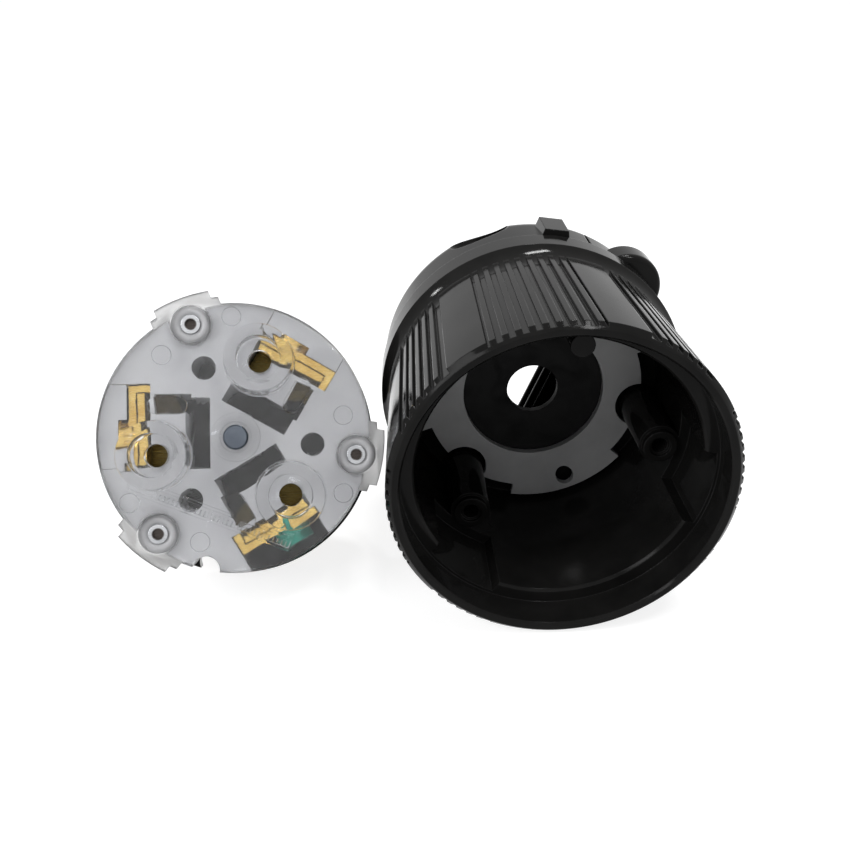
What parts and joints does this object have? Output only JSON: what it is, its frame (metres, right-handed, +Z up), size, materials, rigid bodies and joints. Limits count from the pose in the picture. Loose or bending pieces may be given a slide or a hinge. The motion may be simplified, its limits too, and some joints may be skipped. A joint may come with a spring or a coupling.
{
  "type": "locking plug",
  "caption": "Rewirable locking mains plug, opened: ribbed black shell with cord seal and clamp, and its contact carrier with clear terminal cover, screw terminals and curved blades.",
  "frame": {"origin": "middle of the bounding box's footprint, on the surface that both halves lie on", "axes": "+Z up; +X along the row of the two halves, shell to the right; the shell's axis runs along Y with its mouth towards -Y"},
  "size_m": [0.1076, 0.0576, 0.0579],
  "materials": {
    "black_nylon": "moulded black nylon, satin gloss",
    "white_nylon": "plain white nylon, matt",
    "pale_nylon": "pale grey nylon, matt",
    "seal_rubber": "soft black rubber",
    "clear_cover": "clear moulded plastic, slightly frosted",
    "zinc_steel": "zinc-plated steel",
    "blade_brass": "stamped brass",
    "terminal_brass": "bright brass",
    "green_screw": "green-dyed screw head"
  },
  "bodies": {
    "root": {"shell": "black_nylon", "clamp_half_left": "black_nylon", "clamp_half_right": "black_nylon", "front_body": "black_nylon", "retaining_ring": "white_nylon", "contact_base": "pale_nylon", "cord_seal": "seal_rubber", "terminal_cover": "clear_cover", "clamp_screw_upper": "zinc_steel", "clamp_screw_lower": "zinc_steel", "clamp_nut_upper": "zinc_steel", "clamp_nut_lower": "zinc_steel", "assembly_screw_top": "zinc_steel", "assembly_screw_left": "zinc_steel", "assembly_screw_right": "zinc_steel", "centre_rivet": "zinc_steel", "blade_line_a": "blade_brass", "blade_line_b": "blade_brass", "blade_ground": "blade_brass", "terminal_clamp_line_a": "terminal_brass", "terminal_clamp_line_b": "terminal_brass", "terminal_clamp_ground": "terminal_brass", "pressure_plate_line_a": "terminal_brass", "pressure_plate_line_b": "terminal_brass", "pressure_plate_ground": "terminal_brass", "terminal_screw_line_a": "terminal_brass", "terminal_screw_line_b": "terminal_brass", "terminal_screw_ground": "green_screw"}
  },
  "joints": []
}
